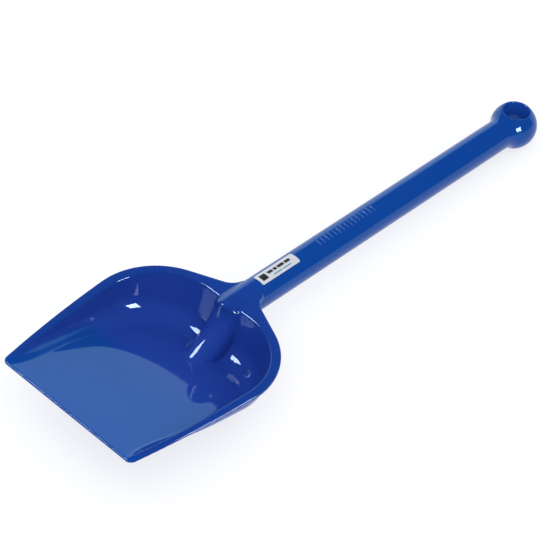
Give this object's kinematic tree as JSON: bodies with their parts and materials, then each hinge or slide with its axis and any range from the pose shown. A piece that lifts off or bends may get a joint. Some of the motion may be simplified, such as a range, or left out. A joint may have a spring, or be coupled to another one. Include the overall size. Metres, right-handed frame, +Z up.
{
  "type": "scoop shovel",
  "caption": "Small one-hand scoop shovel moulded in glossy plastic: a deep flat-floored blade with a flanged rim, a round hollow handle and a ball end with a hanging hole.",
  "frame": {"origin": "on the plane the shovel lies on, under the middle of its length and width", "axes": "+Y along the shovel from the front edge of the blade to the ball end, +Z up out of the open scoop, +X completes the right-handed frame"},
  "size_m": [0.152, 0.4992, 0.0468],
  "materials": {
    "moulding": "glossy moulded blue, lightly scuffed",
    "label": "white printed sheet under a clear film"
  },
  "bodies": {
    "root": {"blade": "moulding", "handle": "moulding", "label": "label"}
  },
  "joints": []
}
